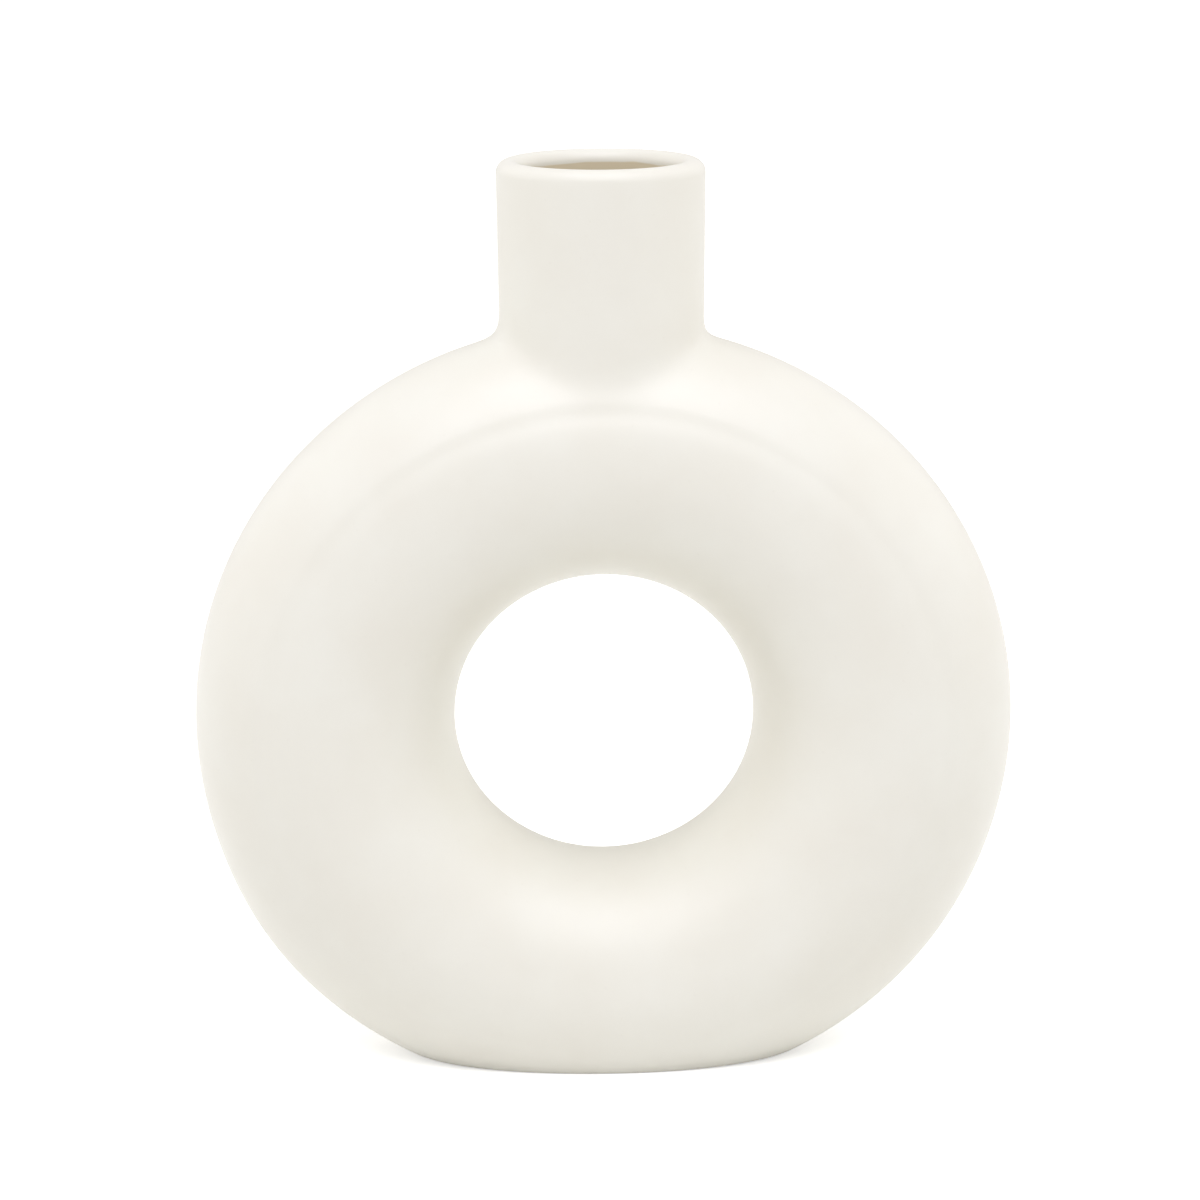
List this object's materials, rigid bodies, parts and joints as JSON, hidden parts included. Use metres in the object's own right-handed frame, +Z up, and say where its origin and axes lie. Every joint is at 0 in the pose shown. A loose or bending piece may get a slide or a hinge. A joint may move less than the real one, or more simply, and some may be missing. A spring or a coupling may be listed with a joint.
{
  "type": "donut vase",
  "caption": "Ceramic vase shaped as an upright hollow ring with a round hole through it, a short wide neck on top and a flat foot.",
  "frame": {"origin": "middle of the foot, on the surface that the vase stands on", "axes": "+Z up along the neck, +Y along the axis of the centre hole towards the back, +X to the right seen from the front"},
  "size_m": [0.235, 0.0714, 0.26],
  "materials": {
    "matte_glaze": "matte",
    "bare_clay": "matte"
  },
  "bodies": {
    "root": {"outer_wall": "matte_glaze", "inner_wall": "matte_glaze", "neck": "matte_glaze", "foot_plate": "bare_clay"}
  },
  "joints": []
}
